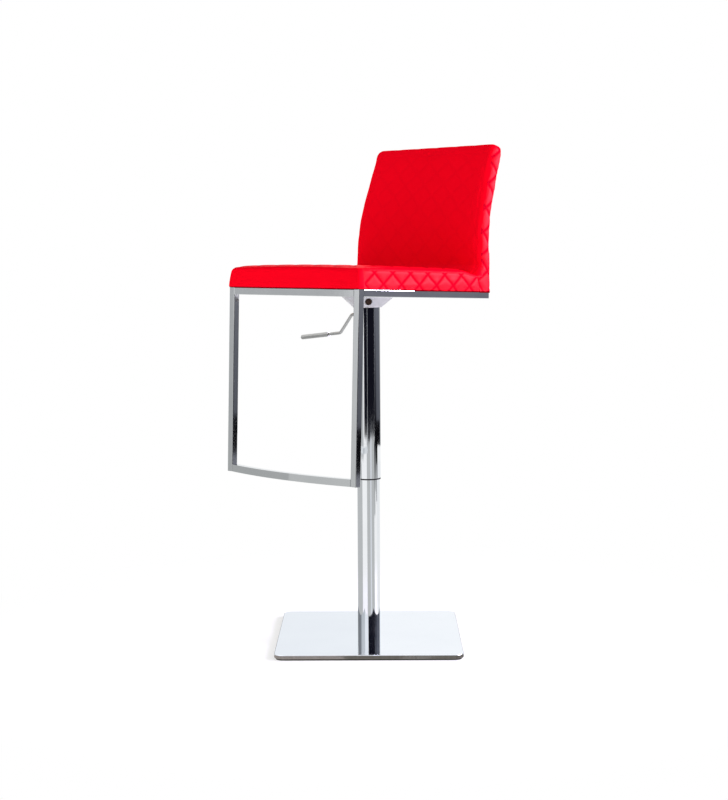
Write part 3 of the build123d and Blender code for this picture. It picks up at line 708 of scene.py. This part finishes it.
def back_flat(points, normals):
    """From the seat's own axes to across, depth and length along the back, with normals turned alike."""
    v = BACK_REAR + BEND_R - points[:, 1]
    w = points[:, 2] - BEND_W
    turn = np.clip(np.arctan2(w, v), 0, LEAN)
    c = np.cos(turn)
    s = np.sin(turn)
    flat = np.stack([points[:, 0], v * c + w * s - BEND_R, BEND_W + MID_R * turn + w * c - v * s], 1)
    into = normals[:, 2] * s - normals[:, 1] * c
    upwards = normals[:, 1] * s + normals[:, 2] * c
    return flat, np.stack([normals[:, 0], into, upwards], 1)


def half_width(length):
    """Half the back's width, which tapers from TAPER_FOOT up."""
    return HALF_W - (HALF_W - TOP_HALF_W) * np.clip((length - TAPER_FOOT) / (BACK_L - TAPER_FOOT), 0, 1)


REAR_IN = 0.002
FRONT_IN = 0.0065
RISE = 0.0057
SEWN_FOOT = 0.040
FOOT_SPREAD = 0.004
TUCK = 0.0025
THINNING = 0.0025
THIN_FROM = 0.08
THIN_OVER = 0.24
TOP_CORNER = 0.016
FRONT_ROLL = 0.0105
REAR_ROLL = 0.004
RIBS = 24
size = Vector((2 * HALF_W, BACK_T - REAR_IN - FRONT_IN, BACK_L + RISE))
form = block(size, (0, REAR_IN + size.y / 2, size.z / 2))
top = [e for e in form.edges if min(v.co.z for v in e.verts) > size.z - TOUCH]
corners = [e for e in top if abs(e.verts[0].co.y - e.verts[1].co.y) > SHORTEST]
round_off(form, corners, TOP_CORNER, 8)
cut_level(form, SEWN_FOOT)
for side, roll, foot in ((BACK_T - FRONT_IN, FRONT_ROLL, SEWN_FOOT), (REAR_IN, REAR_ROLL, 0)):
    rim = [e for e in form.edges if all(abs(v.co.y - side) < TOUCH for v in e.verts)]
    rim = [e for e in rim if min(v.co.z for v in e.verts) > foot - TOUCH]
    rim = [e for e in rim if max(v.co.z for v in e.verts) > foot + SHORTEST]
    round_off(form, rim, roll, 5)
for rib in range(1, RIBS):
    cut_level(form, size.z * rib / RIBS)
back = new_piece("back_cushion", form)
points = points_of(back.data)
points[:, 0] *= (half_width(points[:, 2]) - TUCK * points[:, 1] / BACK_T) / HALF_W
points[:, 1] -= THINNING * np.clip((points[:, 2] - THIN_FROM) / THIN_OVER, 0, 1)
set_points(back.data, bent(points))

BACK_REACH = 0.006
BACK_HELD_H = 0.004


def back_held(points):
    """The foot, which stands on the frame."""
    return points[:, 2] < BACK_HELD_H


swell(back, back_held, BACK_REACH)

JOINT_GAP = 0.0005
SEWN_BLEND = (0.008, 0.020)
SPREAD_END = (0.02, 0.07)
points = points_of(back.data)
joint = JOINT_V - JOINT_LEAN * points[:, 2] + JOINT_GAP
forward = np.clip((BACK_REAR - points[:, 1]) / (BACK_T - FRONT_IN), 0, 1)
forward *= 1 - blend_in(points[:, 2], SEWN_FOOT - SEWN_BLEND[0], SEWN_FOOT + SEWN_BLEND[1])
rearward = np.clip((points[:, 1] - JOINT_V) / BACK_T, 0, 1) * (1 - blend_in(points[:, 2], *SPREAD_END))
points[:, 1] += FOOT_SPREAD * rearward - forward * (BACK_REAR - BACK_T + FRONT_IN - joint)
set_points(back.data, points)

BACK_PITCH = 0.0533
BACK_MARK = 0.024
BAND_DEPTH = 0.0285
BAND_REAR = 0.0015
FOOT_BAND = BAND_TOP - 0.006
FRONT_HEM = 0.019
REAR_HEM = 0.008
SIDE_PITCH = 0.0541
SIDE_MARK = (0.1602, 0.077)
SIDE_LEAN = radians(11.2)
TOP_MARK = 0.020


def back_face(flat, hem):
    """The lines of a broad face and how far inside a hem along its sides and its top a point lies."""
    to_side = half_width(flat[:, 2]) - hem - np.abs(flat[:, 0])
    inside = np.minimum(to_side, BACK_L - hem - flat[:, 2])
    return flat[:, 0] / SEAT_PITCH, (flat[:, 2] - BACK_MARK) / BACK_PITCH, inside


def back_front(flat):
    return back_face(flat, FRONT_HEM)


def back_side(flat):
    seat_points = bent(flat)
    v = seat_points[:, 1] - SIDE_MARK[0]
    w = seat_points[:, 2] - SIDE_MARK[1]
    along = (v * cos(SIDE_LEAN) - w * sin(SIDE_LEAN)) / SEAT_PITCH
    across = (v * sin(SIDE_LEAN) + w * cos(SIDE_LEAN)) / SIDE_PITCH
    inside = np.maximum(BAND_DEPTH - flat[:, 1], FOOT_BAND - flat[:, 2])
    return along, across, np.minimum(inside, flat[:, 1] + BAND_REAR)


def back_top(flat):
    return (flat[:, 1] - TOP_MARK) / SEAT_PITCH, flat[:, 0] / SEAT_PITCH, BAND_DEPTH - flat[:, 1]


def back_rear(flat):
    return back_face(flat, REAR_HEM)


back_panels = ((back_front, front_way, 0.0005, 0.05), (back_side, across_way, 0.0018, 1.0),
               (back_top, top_way, 0.0005, 0.3), (back_rear, rear_way, 0.0016, 0.7))
draw_in(back, back_flat, back_panels)
FOOT_REST = 0.0003
points = points_of(back.data)
points[:, 2] = np.maximum(points[:, 2], FOOT_REST)
set_points(back.data, points)

SIDE_END = (0.004, 0.003)


def back_sides(points):
    """1 along the side bands and 0 round the rear."""
    return 1 - blend_in(points[:, 1], BACK_REAR - SIDE_END[0], BACK_REAR + SIDE_END[1])


hang_hem(back, back_sides)
mark_lines(back, back_flat, back_panels)
back.data.materials.append(leather)
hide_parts("back_cover", "back_foam")
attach(back, "seat")

# Studio: a pale floor that fades into a white surround and keeps the stool's shadow, with a soft lamp
# above, one low in front and two to the right. Grey and dark glowing cards stand and lie round the stool,
# seen only in its polished steel and gloss as painted reflections, and the eye looks slightly down on it
# from one corner.
def seen_straight(tree):
    """1 for what the eye, polished steel and clear things see, and 0 for light that falls on matt ones."""
    path = tree.nodes.new("ShaderNodeLightPath")
    seen = Value(path.outputs["Is Camera Ray"]) + Value(path.outputs["Is Glossy Ray"])
    return seen + Value(path.outputs["Is Transmission Ray"])


AMBIENT = 0.58
scene = bpy.context.scene
scene.view_settings.view_transform = "Standard"
surround = bpy.data.worlds.new("surround")
scene.world = surround
surround.use_nodes = True
tree = surround.node_tree
seen = seen_straight(tree)
ambient = seen.node("ShaderNodeBackground", {}, {"Color": (1, 1, 1, 1), "Strength": AMBIENT})
white = seen.node("ShaderNodeBackground", {}, {"Color": (1, 1, 1, 1), "Strength": 1.0})
both = seen.node("ShaderNodeMixShader", {}, {0: seen, 1: ambient, 2: white})
tree.links.new(both.socket, tree.nodes["World Output"].inputs["Surface"])

FLOOR_R = 6.0
SHADOW_R = (0.35, 1.0)
SHADOW_GLOW = 0.6
form = bmesh.new()
bmesh.ops.create_circle(form, cap_ends=True, segments=96, radius=FLOOR_R)
floor = new_piece("studio_floor", form)
paper = bpy.data.materials.new("studio_paper")
paper.use_nodes = True
tree = paper.node_tree
seen = seen_straight(tree)
matt = seen.node("ShaderNodeBsdfDiffuse", {}, {"Color": (0.92, 0.92, 0.92, 1)})
glow = seen.node("ShaderNodeEmission", {}, {"Color": (1, 1, 1, 1), "Strength": 1.0})
spot = seen.node("ShaderNodeTexCoord", {}, {}, "Object")
away = spot.node("ShaderNodeVectorMath", {"operation": "LENGTH"}, {0: spot}, "Value")
lit = seen * (SHADOW_GLOW + (1 - SHADOW_GLOW) * ramp(away, *SHADOW_R))
both = seen.node("ShaderNodeMixShader", {}, {0: lit, 1: matt, 2: glow})
tree.links.new(both.socket, tree.nodes["Material Output"].inputs["Surface"])
floor.data.materials.append(paper)

VIEW_BEARING = -48


def screen(name, bearings, foot, head, low_shade, high_shade):
    """A curved card round the stool between two bearings from the eye's, from foot to head, each a radius
    and a height. It glows as one shade rising to another and is seen only in polished steel and gloss, as a
    painted reflection."""
    form = bmesh.new()
    start = Matrix.Rotation(radians(VIEW_BEARING + bearings[0]), 3, "Z")
    ends = [form.verts.new(start @ Vector((radius, 0, height))) for radius, height in (foot, head)]
    edge = form.edges.new(ends)
    sweep = radians(bearings[1] - bearings[0])
    bmesh.ops.spin(form, geom=ends + [edge], cent=(0, 0, 0), axis=(0, 0, 1), angle=sweep, steps=24)
    piece = new_piece(name, form)
    card, at = new_finish(name, {
        "Base Color": (0, 0, 0, 1), "Specular IOR Level": 0, "Emission Strength": 1})
    rise = at.node("ShaderNodeSeparateXYZ", {}, {"Vector": at}, 2)
    feed(card, {"Emission Color": mix(ramp(rise, foot[1], head[1]), (*low_shade, 1), (*high_shade, 1))})
    piece.data.materials.append(card)
    piece.visible_camera = False
    piece.visible_diffuse = False
    piece.visible_transmission = False
    piece.visible_shadow = False


NAVY = (0.006, 0.006, 0.011)
BLACK = (0.003, 0.003, 0.004)
SLATE = (0.10, 0.105, 0.125)
STEEL = (0.185, 0.19, 0.22)
DIM = (0.23, 0.235, 0.245)
PALE = (0.42, 0.43, 0.43)
PALER = (0.45, 0.46, 0.47)
LIGHT = (0.54, 0.55, 0.55)
LIGHTER = (0.64, 0.65, 0.66)
PALEST = (0.76, 0.78, 0.82)
DIM_WHITE = (0.92, 0.93, 0.94)
# Painted reflections: glowing cards, seen only in polished steel and gloss, stand in for a darker studio
# round the stool.
screen("dark_screen", (-8, 62), (3.8, 0.002), (3.8, 1.7), NAVY, NAVY)
screen("low_dark_screen", (-36, -8), (3.8, 0.002), (3.8, 0.75), NAVY, NAVY)
screen("near_right_screen", (62, 84), (1.7, 0.22), (1.7, 0.9), NAVY, STEEL)
screen("right_screen", (84, 136), (1.7, 0.30), (1.7, 0.95), SLATE, STEEL)
screen("low_right_screen", (62, 136), (1.7, 0.22), (1.7, 0.30), BLACK, BLACK)
screen("leg_screen", (79, 93), (1.7, 0.16), (1.7, 0.22), BLACK, BLACK)
screen("rear_screen", (136, 226), (3.4, 0.002), (3.4, 0.62), SLATE, PALE)
screen("far_left_screen", (180, 226), (3.4, 0.62), (3.4, 1.3), DIM_WHITE, DIM_WHITE)
screen("left_screen", (-128, -79.6), (3.0, 0.002), (3.0, 0.9), PALE, PALER)
screen("light_left_screen", (-79.6, -44), (3.0, 0.002), (3.0, 0.9), LIGHT, LIGHTER)
screen("high_left_screen", (-168, -91), (2.9, 0.56), (2.9, 0.95), DIM, DIM)
# Painted reflections: glowing sheets on the floor, seen only in polished steel and gloss, make the floor
# look greyer in some directions.
screen("front_mat", (-14, 18), (0.2, 0.002), (3.75, 0.003), LIGHT, LIGHT)
screen("tip_mat", (-6, 18), (3.6, 0.004), (3.8, 0.005), NAVY, NAVY)
screen("middle_mat", (18, 31), (0.2, 0.002), (3.78, 0.003), PALEST, PALEST)
screen("near_right_mat", (31, 60), (0.2, 0.002), (3.75, 0.003), LIGHT, LIGHT)
screen("far_right_mat", (57, 74), (1.6, 0.004), (3.6, 0.005), LIGHT, NAVY)
screen("far_corner_mat", (74, 87), (2.1, 0.004), (3.6, 0.005), LIGHT, NAVY)
screen("leg_mat", (85, 93), (1.9, 0.002), (3.2, 0.003), STEEL, STEEL)
screen("right_mat", (100, 178), (0.2, 0.002), (2.9, 0.003), DIM_WHITE, DIM_WHITE)
screen("left_mat", (-150, -64), (0.2, 0.002), (2.9, 0.003), LIGHT, LIGHT)


def lamp(name, place, aim, size, watts, colour, glints):
    """A square soft lamp, which shows in polished steel and gloss if it glints."""
    light = bpy.data.lights.new(name, "AREA")
    light.shape = "SQUARE"
    light.size = size
    light.energy = watts
    light.color = colour
    piece = bpy.data.objects.new(name, light)
    piece.location = place
    piece.rotation_euler = (Vector(aim) - Vector(place)).to_track_quat("-Z", "Y").to_euler()
    piece.visible_glossy = glints
    scene.collection.objects.link(piece)


lamp("overhead_lamp", (-0.6, -0.8, 3.4), (0, 0, 0.5), 2.6, 10, (1, 1, 1), True)
lamp("side_lamp", (1.75, 1.95, 1.50), (0.1, 0.1, 0.85), 1.1, 118, (0.83, 0.76, 1.0), True)
lamp("near_side_lamp", (2.45, 0.43, 1.50), (0.1, 0.1, 0.9), 0.9, 56, (0.83, 0.76, 1.0), True)
lamp("front_lamp", (-0.5, -1.8, 0.55), (0, 0, 0.8), 0.9, 11, (1, 1, 1), False)

eye = bpy.data.cameras.new("photo_eye")
eye.sensor_width = 36
eye.lens = 69.777
camera = bpy.data.objects.new("photo_eye", eye)
eye_place = Vector((2.26404, -2.51251, 0.85603))
eye_right = Vector((0.74151122, 0.67091621, -0.00570504))
eye_up = Vector((-0.06019207, 0.07498954, 0.99536601))
eye_back = Vector((0.66823501, -0.73773166, 0.09598942))
eye_turn = Matrix((eye_right, eye_up, eye_back)).transposed().to_4x4()
camera.matrix_world = Matrix.Translation(eye_place) @ eye_turn
scene.collection.objects.link(camera)
scene.camera = camera
